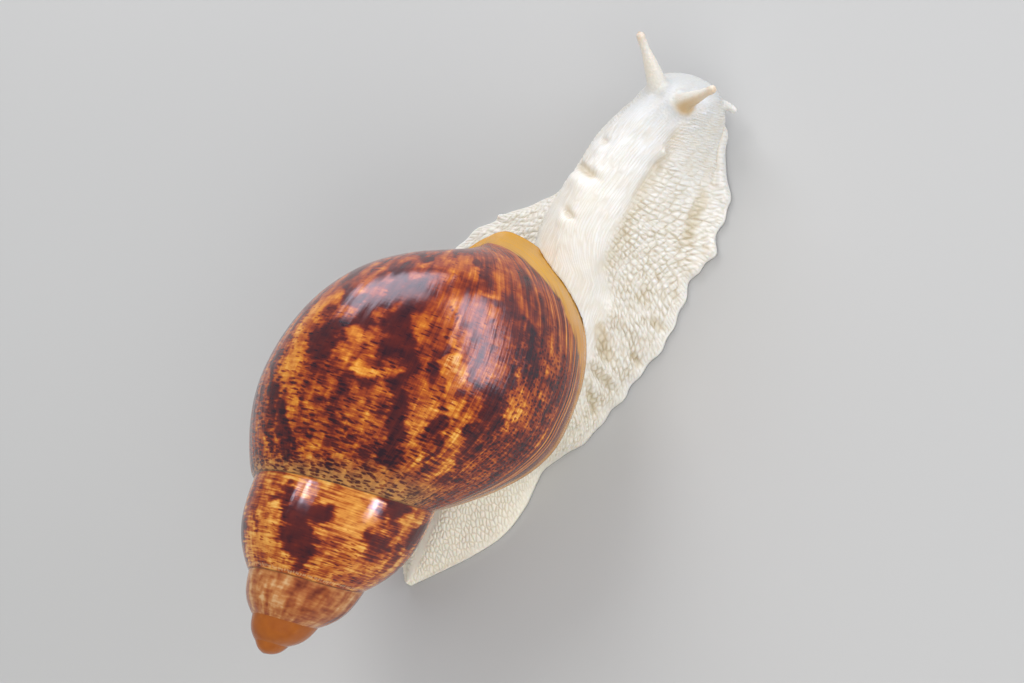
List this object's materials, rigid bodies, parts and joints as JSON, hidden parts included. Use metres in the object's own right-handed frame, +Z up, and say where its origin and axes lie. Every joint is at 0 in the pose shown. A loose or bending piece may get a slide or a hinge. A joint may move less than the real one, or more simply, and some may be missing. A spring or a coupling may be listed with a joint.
{
  "type": "giant african land snail",
  "caption": "Life-size still model of a pale-bodied giant African land snail, crawling with head and feelers out, its glossy amber and dark brown spiral shell carried over the back.",
  "frame": {"origin": "on the floor, in the flat sole of the foot's middle length", "axes": "+Z up, the animal faces -Y, its right side is -X"},
  "size_m": [0.0609, 0.1603, 0.0682],
  "materials": {
    "shell": "glossy amber and mahogany, dark blotches and streaks along the growth lines, orange-brown tip",
    "flesh": "moist ivory skin with rows of tubercles and tan grooves, slightly translucent",
    "mantle": "smooth moist cream",
    "eye": "small, wet, greyish brown"
  },
  "bodies": {
    "root": {"shell": "shell", "mantle_collar": "mantle", "head": "flesh", "neck": "flesh", "foot_front": "flesh", "foot_middle": "flesh", "tail": "flesh", "tentacle_upper_left": "flesh", "tentacle_upper_right": "flesh", "tentacle_lower_left": "flesh", "tentacle_lower_right": "flesh", "eye_left": "eye", "eye_right": "eye"}
  },
  "joints": []
}
